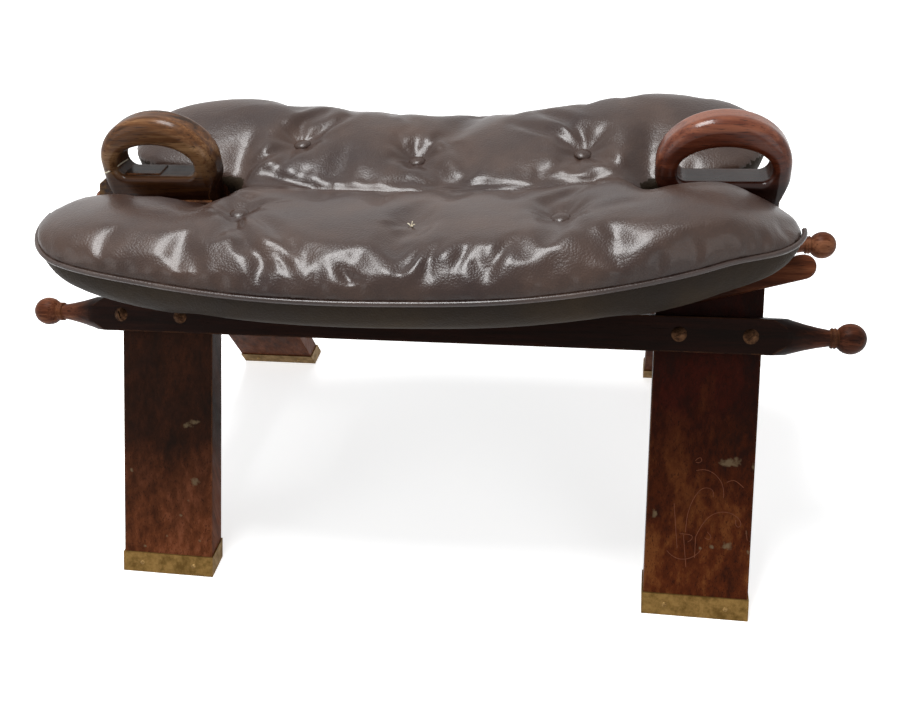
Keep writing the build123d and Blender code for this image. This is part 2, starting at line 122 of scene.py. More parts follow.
# %% White for the camera only
def white_to_the_eye(tree):
    """1 for rays of the camera, of reflections and through glass, 0 for rays that carry light."""
    rays = add(tree, "LightPath").outputs
    seen = calculate(tree, "MAXIMUM", rays["Is Camera Ray"], rays["Is Glossy Ray"])
    return calculate(tree, "MAXIMUM", seen, rays["Is Transmission Ray"])


fill_strength = 0.25
world = bpy.data.worlds.new("plain_white")
bpy.context.scene.world = world
world.use_nodes = True
sky = world.node_tree
sky.nodes.clear()
fill = add(sky, "Background", {"Color": linear("ffffff"), "Strength": fill_strength})
white = add(sky, "Background", {"Color": linear("ffffff"), "Strength": 1.0})
mixed = add(sky, "MixShader", {0: white_to_the_eye(sky), 1: fill.outputs[0], 2: white.outputs[0]})
add(sky, "OutputWorld", {"Surface": mixed.outputs[0]})
print("world white to the eye, with a fill of", fill_strength)

# %% [markdown]
# The light of the photo falls from a wide lamp overhead, with a little from the room in front. Area
# lamps give that soft shade, at a level where a colour renders about as it is written. The floor is
# a matt sheet that glows a little to the camera only: it nears white and still takes the shadow.


# %% Lamps and floor
def lamp(name, place, aim, size, watts):
    """A soft rectangular lamp at place, pointing at aim."""
    data = bpy.data.lights.new(name, "AREA")
    data.shape = "RECTANGLE"
    data.size, data.size_y = size
    data.energy = watts
    made = in_scene(name, data)
    made.location = place
    made.rotation_euler = (Vector(aim) - Vector(place)).to_track_quat("-Z", "Y").to_euler()


def mesh_object(name, shape):
    """Turns a bmesh into an object of the scene."""
    mesh = bpy.data.meshes.new(name)
    shape.to_mesh(mesh)
    shape.free()
    return in_scene(name, mesh)


lamp("ceiling_lamp", (-0.3, -0.05, 1.9), (0.0, -0.05, 0.3), (0.9, 0.5), 38)
lamp("window_light", (-1.7, -1.3, 1.1), (0.0, 0.0, 0.2), (1.2, 1.2), 7)
lamp("room_light", (1.5, -1.5, 0.9), (0.0, 0.0, 0.2), (1.2, 1.2), 7)

floor_reach = 6.0
floor_glow = 0.7
shape = bmesh.new()
bmesh.ops.create_grid(shape, x_segments=1, y_segments=1, size=floor_reach)
floor = mesh_object("floor", shape)
floor_paint, tree, shader = material("matt_white_floor")
feed(tree, shader, {
    "Base Color": linear("f2f2f2"), "Roughness": 0.9, "Emission Color": linear("ffffff"),
    "Emission Strength": calculate(tree, "MULTIPLY", white_to_the_eye(tree), floor_glow),
})
floor.data.materials.append(floor_paint)
print("floor and", len(bpy.data.lights), "lamps")

# %% [markdown]
# Real finishes are never even, so each material starts from noise: patches that pick between
# colours, or make a place duller. A noise is set here by the size of its patches in millimetres. It
# lives in Object coordinates, since the CAD nodes have no UVs.


# %% Patterns
def grown(tree, place, size, **inputs):
    """A noise whose patches are about size millimetres across."""
    return add(tree, "TexNoise", {"Vector": place, "Scale": 1 / (size * mm), **inputs}).outputs[0]


def level(tree, value, low, high, to_low=0.0, to_high=1.0):
    """A value stretched from one range to another, and held there."""
    return add(tree, "MapRange", {"Value": value, "From Min": low, "From Max": high,
                                  "To Min": to_low, "To Max": to_high}).outputs[0]


def blend(tree, share, below, above):
    """Mixes two colours, each an output or a linear colour."""
    return add(tree, "Mix", {0: share, 6: below, 7: above}, data_type="RGBA").outputs[2]


def shades(tree, value, stops):
    """The colour of a value, from stops of a place between 0 and 1 and a hex colour."""
    node = add(tree, "ValToRGB", {0: value})
    ramp = node.color_ramp.elements
    while len(ramp) < len(stops):
        ramp.new(0.5)
    for element, (place, colour) in zip(ramp, stops):
        element.position = place
        element.color = linear(colour)
    return node.outputs[0]


# %% [markdown]
# Edges are rubbed light by hands and feet. The Bevel node gives the normal of a rounded edge, which
# differs from the flat normal only near an edge, so their dot product finds the edges. A knock is a
# spot where the stain is chipped off: the distance from its centre, made ragged by noise.

# %% Worn edges and knocks
rounding = 2.0 * mm
rubbed_wood = "94603c"
chip_spread = 2.4  # times a noise of about a half, so chips add about 1.2 to the distance
chip_outline = (2.15, 1.5)  # that sum where a knock starts to show, and where it is full
chip_bareness = 0.85


def edge_wear(tree, smudges, rub):
    """The normal with rounded edges, and how far a place is rubbed."""
    rounded = add(tree, "Bevel", {"Radius": rounding}, samples=4).outputs[0]
    flat = add(tree, "NewGeometry").outputs["Normal"]
    turn = add(tree, "VectorMath", {0: rounded, 1: flat}, operation="DOT_PRODUCT").outputs["Value"]
    patchy = calculate(tree, "MULTIPLY", level(tree, turn, 0.995, 0.90),
                       level(tree, smudges, 0.35, 0.65))
    return rounded, calculate(tree, "MULTIPLY", patchy, rub)


def knocked(tree, place, color, marks, bare):
    """A colour with the bare wood showing in each mark."""
    chips = grown(tree, place, 4, Detail=3.0)
    for x, y, z, *radii in marks:
        centre = [value * mm for value in (x, y, z)]
        away = add(tree, "VectorMath", {0: place, 1: centre}, operation="SUBTRACT")
        away = add(tree, "VectorMath", {0: away.outputs[0], 1: [value * mm for value in radii]},
                   operation="DIVIDE")
        away = add(tree, "VectorMath", {0: away.outputs[0]}, operation="LENGTH").outputs["Value"]
        ragged = calculate(tree, "MULTIPLY_ADD", chips, chip_spread, away)
        color = blend(tree, level(tree, ragged, *chip_outline, 0.0, chip_bareness), color,
                      linear(bare))
    return color


# %% [markdown]
# The frame is hardwood with a dark red-brown stain and a thin varnish. Wood shows three scales:
# broad bands of stain, long streaks of grain and short dark pores. Each is a noise stretched along
# the board, so a Mapping node first turns the pattern until its X axis runs along that board. Each
# board has a darker stain where the cushion shades it, which is painted shade, and a lighter, worn
# one out in the light, such as at a leg's foot.

# %% Stained hardwood
grain_stretch = (0.07, 1.0, 1.0)
figure_stops = (0.38, 0.5, 0.62)  # where the three shades of a stain lie in the grain's noise
raggedness = 0.9  # of the worn zone's edge, as a share of its width
pore_darkness = 0.7


def wood(name, stain, worn, axis, start, end, along=(0, 0, 0), rub=0.5, rough=0.45, shine=0.06,
         coat=0.0, marks=(), bare="6b5a44"):
    """Varnished stained hardwood, from its darker stain at start, which holds painted shade where
    the cushion shades the board, to its worn one at end on an axis. along turns the grain, in
    degrees about X, Y and Z. Each mark is where the stain is knocked off, as X, Y, Z and three
    radii in millimetres."""
    made, tree, shader = material(name)
    place = add(tree, "TexCoord").outputs["Object"]
    turn = [math.radians(angle) for angle in along]
    grain = add(tree, "Mapping", {"Vector": place, "Rotation": turn}, vector_type="TEXTURE")
    grain = add(tree, "Mapping", {"Vector": grain.outputs[0], "Scale": grain_stretch}).outputs[0]
    bands = grown(tree, grain, 40, Detail=3.0, Distortion=0.8)
    streaks = grown(tree, grain, 5, Detail=6.0, Roughness=0.65)
    pores = level(tree, grown(tree, grain, 1.1, Detail=2.0), 0.58, 0.70)
    smudges = grown(tree, place, 14, Detail=5.0, Roughness=0.7)
    fringe = grown(tree, grain, 16, Detail=5.0, Roughness=0.6)

    figure = add(tree, "Mix", {0: 0.45, 2: bands, 3: streaks}).outputs[0]
    # The darker stain carries painted shade where the cushion shades the board; the lighter one is
    # worn.
    shaded_and_sheltered = shades(tree, figure, list(zip(figure_stops, stain)))
    rubbed = shades(tree, figure, list(zip(figure_stops, worn)))
    reach = add(tree, "SeparateXYZ", {0: place}).outputs[axis]
    reach = calculate(tree, "ABSOLUTE", reach)
    ragged = calculate(tree, "MULTIPLY_ADD", fringe, (end - start) * raggedness, reach)
    shift = (end - start) * raggedness / 2
    color = blend(tree, level(tree, ragged, start + shift, end + shift), shaded_and_sheltered, rubbed)
    color = blend(tree, calculate(tree, "MULTIPLY", pores, pore_darkness), color, linear(stain[0]))
    rounded, wear = edge_wear(tree, smudges, rub)
    color = blend(tree, wear, color, linear(rubbed_wood))
    if marks:
        color = knocked(tree, place, color, marks, bare)

    relief = calculate(tree, "MULTIPLY_ADD", streaks, 0.5, pores)
    bump = add(tree, "Bump", {"Height": relief, "Strength": 0.25, "Distance": 0.25 * mm,
                              "Normal": rounded}, invert=True)
    feed(tree, shader, {
        "Base Color": color, "Normal": bump.outputs[0],
        "Roughness": level(tree, smudges, 0.3, 0.7, rough - 0.08, rough + 0.12),
        "Specular IOR Level": shine, "Coat Weight": coat, "Coat Roughness": 0.16,
    })
    return made


# %% [markdown]
# Each front leg of the photo has its own stain and its own knocks, so each leg gets a material. A
# knock is given as X and Z on the leaning face, and the face's slope says how far forward that is.
# The rear legs hardly show, and get the same stains without the knocks.

# %% Wood of the legs
leg_splay = 29.3  # degrees from upright
foot_reach = 176  # of the legs' outer faces from the middle, at the floor, in millimetres
knock_depth = 4


def on_front_face(x, z):
    """A place on the front legs' outer face, in millimetres."""
    return x, -foot_reach + z * math.tan(math.radians(leg_splay)), z


# Knocks on the front legs: X, Z, half width and half height.
knocks = {
    "left": ((-210, 116, 6, 2.6), (-202, 119, 6, 2.2), (-261, 79, 2, 1.6), (-202, 73, 5, 4),
             (-208, 58, 1.6, 1.2), (-215, 46, 1.6, 1.2), (-228, 29, 1.2, 1), (-249, 20, 1.6, 1.2),
             (-197, 27, 1.6, 1.2)),
    "right": ((249, 111, 9, 4), (192, 72, 2.6, 4), (250, 52, 5, 3.5), (238, 51, 2, 1.6),
              (229, 49, 1.5, 1.5), (266, 49, 1.5, 2), (267, 109, 1.5, 2.5), (264, 62, 1.5, 2.5)),
}
# Upper stain with the cushion's painted shade, worn stain, and the heights in metres where the
# change starts and is full.
leg_stains_and_shade = {
    "left": (("190b04", "2a1409", "3a1d0f"), ("3f1d0b", "63351d", "824b32"), 0.11, 0.02),
    "right": (("140300", "230600", "340d04"), ("2e1003", "4f220b", "70401e"), 0.16, 0.02),
}
upright = {"front": (0, -90, leg_splay), "rear": (0, -90, -leg_splay)}
leg_woods = {}
for side in ("front", "rear"):
    for end, (stain, worn, start, stop) in leg_stains_and_shade.items():
        marks = [(*on_front_face(x, z), width, knock_depth, height)
                 for x, z, width, height in knocks[end]]
        leg_woods[side, end] = wood(f"stained_hardwood_leg_{side}_{end}", stain, worn, "Z", start,
                                    stop, along=upright[side],
                                    marks=marks if side == "front" else ())
print(len(leg_woods), "leg finishes")

# %% [markdown]
# The rails are almost black in the middle, which is painted shade of the cushion above them, and
# worn to the wood at their turned ends. The slats' darker middles are painted shade of the cushion
# too. The pommels are what a hand holds, so their tops are polished, and the left one has a large
# pale patch. One function with other stains and limits does for all of them, so they stay one
# family of wood.

# %% Wood of the rails, slats and pommels
# Darker in the middle: painted shade of the cushion above; the turned ends are worn lighter.
rail_wood = wood("stained_hardwood_rail", ("0d0401", "1b0a05", "2a150d"),
                 ("2a130a", "57301f", "84563d"), "X", 0.285, 0.31, rub=0.35, rough=0.42)
# Darker in the middle: painted shade of the cushion; lighter at the ends, out from under it.
slat_wood = wood("stained_hardwood_slat", ("140603", "2a120a", "402013"),
                 ("33180c", "5c311d", "7d4e34"), "X", 0.23, 0.30)
pommel_wood = wood("varnished_hardwood_pommel", ("120401", "200b06", "31170e"),
                   ("2c0e05", "542616", "7a4630"), "Z", 0.300, 0.318, rub=0.6, rough=0.3, coat=0.4)
worn_pommel_wood = wood("worn_hardwood_pommel", ("120402", "220e06", "402410"),
                        ("2a190b", "5e3c22", "8f6c4a"), "Z", 0.303, 0.322, rub=0.7, rough=0.36,
                        coat=0.2, marks=[(-290, 0, 290, 9, 18, 16)], bare="6e4c1e")
print("wood finishes for rails, slats and pommels")

# %% [markdown]
# The foot bands are thin sheet brass, aged to a dull ochre with brown tarnish in patches. The
# screws are steel, dark with age, with a little rust in the slots. Both are metals, so what varies
# is the colour of the reflection and how sharp it is.


# %% Brass and steel
def metal(name, clean, tarnish, spot, roughness):
    """Metal with duller patches of tarnish, about spot millimetres across, and fine scratches."""
    made, tree, shader = material(name)
    place = add(tree, "TexCoord").outputs["Object"]
    patches = grown(tree, place, spot, Detail=6.0, Roughness=0.7)
    scratches = grown(tree, place, 0.8, Detail=3.0)
    bump = add(tree, "Bump", {"Height": scratches, "Strength": 0.15, "Distance": 0.1 * mm})
    feed(tree, shader, {
        "Base Color": shades(tree, patches, ((0.35, tarnish), (0.62, clean))),
        "Roughness": level(tree, patches, 0.35, 0.65, roughness + 0.2, roughness),
        "Normal": bump.outputs[0], "Metallic": 1.0,
    })
    return made


aged_brass = metal("aged_sheet_brass", "7d6238", "5a4422", 9, 0.45)
aged_steel = metal("aged_steel_screw", "4a3424", "24160f", 3, 0.45)
nail_brass = metal("brass_nail", "94784c", "5a4324", 2, 0.4)
print("metal finishes for bands, nails and screws")

# %% [markdown]
# CAD nodes keep their meshes. Rounded stretches should look smooth and flat ones flat, so three
# modifiers follow: their triangles are welded, split again where the surface has a real edge, and
# their normals weighted by face area.

# %% Dress the frame
weld_distance = 0.005 * mm
real_edge = math.radians(32)


def shade_smooth(mesh):
    """Shades every face of a mesh smooth."""
    mesh.polygons.foreach_set("use_smooth", [True] * len(mesh.polygons))


def dress(node, finish):
    """Gives a CAD node its finish and its smooth shading."""
    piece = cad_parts[node]
    piece.data.materials.clear()
    piece.data.materials.append(finish)
    shade_smooth(piece.data)
    piece.modifiers.new("weld", "WELD").merge_threshold = weld_distance
    piece.modifiers.new("edges", "EDGE_SPLIT").split_angle = real_edge
    piece.modifiers.new("normals", "WEIGHTED_NORMAL")


for side in ("front", "rear"):
    dress(f"rail_{side}", rail_wood)
    dress(f"slat_{side}", slat_wood)
    for screws in ("rail_screws", "slat_screws", "top_screws"):
        dress(f"{screws}_{side}", aged_steel)
    for end in ("left", "right"):
        dress(f"leg_{side}_{end}", leg_woods[side, end])
        dress(f"foot_band_{side}_{end}", aged_brass)
dress("foot_band_nails", nail_brass)
dress("pommel_left", worn_pommel_wood)
dress("pommel_right", pommel_wood)
triangles = sum(len(node.data.polygons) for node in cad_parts.values())
print(len(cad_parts), "CAD nodes,", triangles, "triangles")

# %% [markdown]
# The cushion is two long padded lobes sewn from one cover, joined by a neck between the pommels. No
# two stretches of it are quite alike, so its form is given by short tables: how far out the seam
# runs, how high the padding stands over it, and how it falls to the middle.

# %% Cushion tables
# Places are (X, value) in millimetres. The seam's distance from the middle is given for each lobe.
seam_out = {
    "front": ((-292, 130), (-255, 151), (-180, 161), (-100, 166), (0, 163), (100, 156), (200, 133),
              (286, 94)),
    "rear": ((-284, 112), (-200, 145), (-100, 160), (0, 163), (100, 163), (200, 150), (272, 122)),
}
crown_over_seam = {
    "front": ((-292, 16), (-230, 21), (-150, 25), (0, 25), (150, 29), (225, 29), (262, 15),
              (286, 2)),
    "rear": ((-284, 26), (-230, 31), (-170, 31), (-110, 27), (0, 21), (60, 24), (150, 34),
             (230, 31), (272, 27)),
}
# Height of the lobes' inner edges over the seam, as a percentage of the crown.
inner_rise = {
    "front": ((-292, -10), (-205, -10), (-150, -30), (0, -30), (150, -20), (200, 30), (286, 30)),
    "rear": ((-284, 10), (-200, 10), (-150, -30), (150, -30), (200, 10), (272, 10)),
}
# How full a lobe is at its inner edge: 0 slopes up to the crown, 100 stands up at once.
inner_fullness = {
    "front": ((-292, 20), (-200, 15), (-150, 20), (150, 50), (180, 75), (286, 65)),
    "rear": ((-284, 0), (272, 0)),
}
# How far the inner edges are from the middle at the pommels, and the tips from the middle.
pommel_gap = {"front": ((-200, 25), (200, 19)), "rear": ((-200, 22), (200, 24))}
tip_middle = {"front": ((-292, 84), (286, 68)), "rear": ((-284, 74), (272, 80))}
outward = {"front": -1, "rear": 1}  # along Y
print("cushion tables for", len(seam_out), "lobes")

# %% [markdown]
# A table of a few places is read with a smooth line through them, the way a spline would run. The
# seam itself rises to both ends like a shallow boat, because the cushion lies over dipping slats.


# %% Lines through the tables
def smooth(low, high, value):
    """0 below low, 1 above high and an S curve between them."""
    share = min(max((value - low) / (high - low), 0.0), 1.0)
    return share * share * (3 - 2 * share)


def fades(low, high, value):
    """1 below low and 0 above high."""
    return 1 - smooth(low, high, value)


def between(a, b, share):
    """The value a share of the way from a to b."""
    return a + (b - a) * share


def through(places, x):
    """A smooth line through (X, value) places in millimetres, read at x in metres."""
    at = min(max(x / mm, places[0][0]), places[-1][0])
    index = max(i for i in range(len(places) - 1) if places[i][0] <= at)
    (x1, v1), (x2, v2) = places[index], places[index + 1]
    x0, v0 = places[max(index - 1, 0)]
    x3, v3 = places[min(index + 2, len(places) - 1)]
    width = x2 - x1
    share = (at - x1) / width
    slope1, slope2 = (v2 - v0) / (x2 - x0) * width, (v3 - v1) / (x3 - x1) * width
    bend1, bend2 = slope1 - (v2 - v1), (v2 - v1) - slope2
    curve = v1 + (v2 - v1) * share + share * (1 - share) * (bend1 * (1 - share) + bend2 * share)
    return curve * mm


seam_low = 279 * mm
seam_rise = 24 * mm
seam_rise_at = 288 * mm
tip_droop = 9 * mm
droop_from, droop_to = 225 * mm, 286 * mm


def seam_height(x, y):
    """The seam rises to both ends, and droops at the right tip of the front lobe."""
    height = seam_low + seam_rise * (x / seam_rise_at) ** 2
    return height - tip_droop * smooth(droop_from, droop_to, x) if y < 0 else height


print("seam", round(seam_height(0, 0) / mm), "mm high in the middle")

# %% [markdown]
# In plan, a lobe is the strip between its seam and its inner edge. Both run into its blunt tips. In
# the middle the two inner edges reach past each other, which makes the neck, and towards the ends
# they open to leave room for the pommels.

# %% Lobes in plan
crease_y = 8 * mm
overlap = 30 * mm  # how far each lobe reaches past the crease
neck = 150 * mm  # where the neck starts to open into the pommel gaps
neck_opening = 30 * mm  # over what length it opens
seam_bluntness, inner_bluntness = 28, 15


def lobe_ends(side):
    """X of a lobe's left and right tip."""
    return seam_out[side][0][0] * mm, seam_out[side][-1][0] * mm


def along_lobe(x, side):
    """-1 at the lobe's left tip, 0 in its middle and 1 at its right tip."""
    left, right = lobe_ends(side)
    return min(max((2 * x - left - right) / (right - left), -1.0), 1.0)


def blunt(along, power):
    """1 along a lobe and 0 at its tips. A higher power gives blunter tips."""
    return (1 - abs(along) ** power) ** 0.5


def seam_distance(x, side):
    """How far the seam is from the stool's middle line, with the lobe's blunt rounded tips."""
    return between(through(tip_middle[side], x), through(seam_out[side], x),
                   blunt(along_lobe(x, side), seam_bluntness))


def inner_distance(x, side):
    """How far a lobe's inner edge is from the middle line. It is past it in the neck."""
    reach = -overlap + outward[side] * crease_y
    inner = between(reach, through(pommel_gap[side], x), smooth(neck, neck + neck_opening, abs(x)))
    return between(through(tip_middle[side], x), inner,
                   blunt(along_lobe(x, side), inner_bluntness))


def lobe_of(y):
    """The side of the crease that a place is on."""
    return "front" if y < crease_y else "rear"


for side in seam_out:
    left, right = lobe_ends(side)
    print(side, "lobe", round((right - left) / mm), "mm long")

# %% [markdown]
# Cut across, a lobe has a top that rises from its inner edge to a crest, then rolls down to the
# seam, and a belly that hangs under it and is flat where it rests on the slat. Rounded corners are
# made by superellipses, whose power says how tight the corner is.

# %% Lobe section
crest_at = 0.8  # share of the width from the inner edge
steepness = 0.8  # of the inner side at full fullness
crown_bluntness, belly_bluntness = 9, 7
roll_power = 2.2
belly = 40 * mm
belly_inner, belly_outer = 0.16, 0.72  # between these shares of the width the belly is flat
belly_power = 2.4


def rounded_corner(share, power):
    """1 at share 0, falling to 0 at share 1 round a corner."""
    return (1 - share**power) ** (1 / power)


def crown_share(across, x, side):
    """The top's height over the seam and that of its inner edge, as shares of the crown. across
    runs from 0 at the inner edge to 1 at the seam."""
    fullness = through(inner_fullness[side], x) / (100 * mm)
    rise = math.sin(math.pi / 2 * min(across / crest_at, 1.0)) ** (1 - steepness * fullness)
    low = through(inner_rise[side], x) / (100 * mm)
    roll = max((across - crest_at) / (1 - crest_at), 0.0)
    return (low + (1 - low) * rise) * rounded_corner(roll, roll_power), low


def lobe_place(x, around, side):
    """The place of a lobe's vertex, at a distance along the stool and an angle round the lobe."""
    across = (1 + math.cos(around)) / 2
    top, low = crown_share(across, x, side)
    crown = through(crown_over_seam[side], x)
    along = along_lobe(x, side)
    if math.sin(around) >= 0:
        height = crown * top * blunt(along, crown_bluntness)
    else:
        inward = 1 - min(across / belly_inner, 1.0)
        roll = max((across - belly_outer) / (1 - belly_outer), 0.0)
        drop = between(crown * low, -belly, (1 - inward**2) ** 0.5)
        height = drop * rounded_corner(roll, belly_power) * blunt(along, belly_bluntness)
    y = outward[side] * between(inner_distance(x, side), seam_distance(x, side), across)
    return Vector((x, y, seam_height(x, y) + height))


print("crown", round(through(crown_over_seam["front"], 0) / mm), "mm over the seam in the middle")

# %% [markdown]
# Each lobe starts as a sphere with its poles at the lobe's two tips. Every vertex is then moved to
# where its place along and round the lobe belongs. The two closed forms overlap at the crease. A
# boolean could join them, but a voxel remesh also gives the even mesh that Cloth needs.

# %% Two lobes made one skin
lobe_rings, lobe_sides = 120, 72
voxel = 5.5 * mm


def add_lobe(shape, side):
    """Adds a sphere to a bmesh and gives it a lobe's form."""
    poles_on_x = Matrix.Rotation(math.pi / 2, 4, "Y")
    made = bmesh.ops.create_uvsphere(shape, u_segments=lobe_sides, v_segments=lobe_rings,
                                     radius=1.0, matrix=poles_on_x)
    left, right = lobe_ends(side)
    for vertex in made["verts"]:
        around = math.atan2(vertex.co.z, outward[side] * vertex.co.y)
        vertex.co = lobe_place(between(left, right, (vertex.co.x + 1) / 2), around, side)


def bake_modifiers(piece):
    """Replaces a piece's mesh by what its modifiers make of it."""
    graph = bpy.context.evaluated_depsgraph_get()
    done = bpy.data.meshes.new_from_object(piece.evaluated_get(graph))
    piece.modifiers.clear()
    piece.data = done


shape = bmesh.new()
for side in ("front", "rear"):
    add_lobe(shape, side)
bmesh.ops.recalc_face_normals(shape, faces=shape.faces)
cushion = mesh_object("cushion", shape)
remesh = cushion.modifiers.new("one_skin", "REMESH")
remesh.mode = "VOXEL"
remesh.voxel_size = voxel
bake_modifiers(cushion)
print("cushion skin", len(cushion.data.vertices), "vertices")

# %% [markdown]
# Padding presses on its cover from inside, and the cover is held by its seam, its crease and its
# buttons. That is a Cloth simulation with a little pressure and no gravity, where the weight of a
# vertex in the held group pins it.

# %% Where the cover is held
# Button places in plan, in millimetres. The front middle button is lost.
buttons = {
    "rear_left": (-130, 71), "rear_middle": (-24, 64), "rear_right": (122, 57),
    "front_left": (-141, -67), "front_right": (112, -71), "front_middle": (2, -87),
}
# Each grip holds a vertex fully within the first distance, and leaves it free past the second.
seam_grip = (3 * mm, 14 * mm)
button_grip = (6 * mm, 16 * mm)
crease_grip = (4 * mm, 14 * mm)
crease_end = neck + 20 * mm
resting = -6 * mm  # below this height over the seam, the cover lies on the slats


def held(point):
    """1 where the cover is sewn, pulled down or lies on the slats, and 0 where it is free."""
    height = point.z - seam_height(point.x, point.y)
    if height < resting:
        return 1.0
    out = abs(point.y) - seam_distance(point.x, lobe_of(point.y))
    holds = [fades(*seam_grip, math.hypot(out, height))]
    for x, y in buttons.values():
        holds.append(fades(*button_grip, (point.xy - Vector((x, y)) * mm).length))
    if abs(point.x) < crease_end:
        holds.append(fades(*crease_grip, abs(point.y - crease_y)))
    return max(holds)


pins = cushion.vertex_groups.new(name="held")
for vertex in cushion.data.vertices:
    pins.add([vertex.index], held(vertex.co), "REPLACE")
print("the cover is held by its seam, its crease and", len(buttons), "twines")

# %% [markdown]
# The leather is also a little larger than the padding, which is what lets it wrinkle. How far a
# vertex may move is capped, because a simulation can run wild. It takes most of the script's time.
# A subdivision then rounds what the voxels left stepped.

# %% Padding presses on the cover
most_movement = 3.5 * mm
simulated_frames = 20


def places_of(mesh, kind="co"):
    """A mesh's vertex places, or normals, as an array of rows."""
    places = np.empty(len(mesh.vertices) * 3, dtype=np.float32)
    mesh.vertices.foreach_get(kind, places)
    return places.reshape(-1, 3)


def puff(piece, pins):
    """Lets the Cloth simulation press a piece's cover outwards, and keeps the result."""
    cloth = piece.modifiers.new("cover", "CLOTH")
    cloth.settings.vertex_group_mass = pins.name
    cloth.settings.quality = 3
    cloth.settings.mass = 0.4
    cloth.settings.bending_stiffness = 5.0
    cloth.settings.use_pressure = True
    cloth.settings.uniform_pressure_force = 4.0
    cloth.settings.shrink_min = -0.015
    cloth.settings.effector_weights.gravity = 0.0
    cloth.collision_settings.use_collision = False
    before = places_of(piece.data)
    for frame_number in range(1, simulated_frames + 1):
        bpy.context.scene.frame_set(frame_number)
    after = places_of(piece.evaluated_get(bpy.context.evaluated_depsgraph_get()).data)
    piece.modifiers.remove(cloth)
    bpy.context.scene.frame_set(1)
    moves = after - before
    lengths = np.linalg.norm(moves, axis=1, keepdims=True)
    moves *= np.minimum(1.0, most_movement / np.maximum(lengths, 1e-9))
    piece.data.vertices.foreach_set("co", (before + moves).ravel())
    piece.data.update()
    print("cover moved up to", round(float(lengths.max()) / mm, 1), "mm, kept",
          round(most_movement / mm, 1))


puff(cushion, pins)
smoother = cushion.modifiers.new("smoother", "SUBSURF")
smoother.levels = smoother.render_levels = 1
bake_modifiers(cushion)
print("cushion skin", len(cushion.data.vertices), "vertices")

# %% [markdown]
# Longer folds run from the buttons to the crease and over the crest, where the leather is pulled
# tight. Each is given as a line on the cushion seen from above, and is pressed into the skin by
# moving its vertices. Displacing by a painted texture could do it too, but would need UVs.

# %% Folds
# Each fold is a line through places in plan, its depth and its half width, all in millimetres.
folds = (
    (((-138, 78), (-136, 92), (-118, 126)), 3.0, 5),
    (((-121, 78), (-93, 117)), 3.0, 5),
    (((-136, 62), (-151, 40), (-170, 28)), 3.0, 5),
    (((-132, 54), (-140, 22)), 2.0, 5),
    (((-36, 74), (-49, 92)), 1.5, 4),
    (((-14, 76), (-4, 100)), 1.5, 4),
    (((124, 66), (106, 96), (75, 128)), 3.0, 5),
    (((114, 64), (90, 82), (57, 106)), 3.0, 5),
    (((130, 48), (159, 22)), 2.5, 5),
    (((113, 50), (92, 27)), 2.0, 5),
    (((-150, 20), (-100, 10), (0, 7), (100, 9), (142, 18)), 5.0, 4),
    (((-153, -40), (-132, -47)), 2.0, 4),
    (((-134, -58), (-106, -52)), 1.5, 4),
    (((-146, -76), (-108, -136), (-80, -158)), 4.0, 6),
    (((-137, -72), (-97, -110), (-68, -145)), 2.5, 6),
    (((-91, -136), (-68, -158)), 3.0, 4),
    (((-40, -146), (-25, -160)), 3.0, 4),
    (((19, -130), (4, -156)), 3.0, 4),
    (((31, -124), (22, -151)), 2.5, 4),
    (((53, -125), (43, -151)), 2.0, 4),
    (((81, -122), (69, -150)), 2.0, 4),
    (((127, -28), (109, -41), (92, -60)), 2.5, 6),
    (((139, -82), (174, -73)), 1.0, 7),
    (((111, -84), (108, -105), (103, -143)), 1.5, 7),
    (((118, -82), (124, -103), (143, -134)), 1.5, 6),
)
fold_strength = 0.9
ridge_at = 2.1  # half widths from the middle of the fold
ridge_share = 0.25  # of the fold's depth
fold_ends = (0.04, 0.96)  # shares of the way, beyond which a fold keeps its last depth
fold_taper = 0.7


def distance_to(places, line):
    """Distance of each place in plan from a line, and its share of the way along the line."""
    nearest = np.full(len(places), np.inf)
    share = np.zeros(len(places))
    steps = [np.hypot(*(np.array(b) - a)) for a, b in zip(line, line[1:])]
    gone = 0.0
    for start, end, step in zip(line, line[1:], steps):
        way = (np.array(end) - start) / step
        along = np.clip((places - start) @ way, 0, step)
        away = np.hypot(*(places - start - along[:, None] * way).T)
        closer = away < nearest
        nearest = np.where(closer, away, nearest)
        share = np.where(closer, (gone + along) / sum(steps), share)
        gone += step
    return nearest, share


def fold_depth(places):
    """How far the folds press each place in plan down, with a low ridge on both sides of a fold."""
    drop = np.zeros(len(places))
    for line, depth, width in folds:
        away, share = distance_to(places, line)
        ends = np.sin(np.pi * np.clip(share, *fold_ends)) ** fold_taper
        valley = np.exp(-((away / width) ** 2))
        ridge = np.exp(-(((away - ridge_at * width) / width) ** 2))
        drop += fold_strength * depth * ends * (valley - ridge_share * ridge)
    return drop


print(len(folds), "folds")

# %% [markdown]
# Buttons are pulled down by twine through the padding, so each sits in a dimple, and the leather
# round it gathers in short pleats that point at the button. Old padding is a little uneven too, and
# along the seam the top is gathered where it is sewn to the piping.

# %% Dimples and unevenness
dimple_depth = 9
dimple_width = 17
lost_button_share = 0.25  # of the depth, where no twine pulls any more
dimple_fall = 1.4  # a higher power gives a rounder bottom and a steeper wall
pleats_round, pleat_share, pleats_full_at = 7, 0.22, 25
broad_swell, short_swell = 0.35, 0.12
gather = 0.35 * mm
gather_starts, gather_ends = (1 * mm, 6 * mm), (10 * mm, 20 * mm)  # heights over the seam
gather_reach = (8 * mm, 24 * mm)  # from the seam in plan


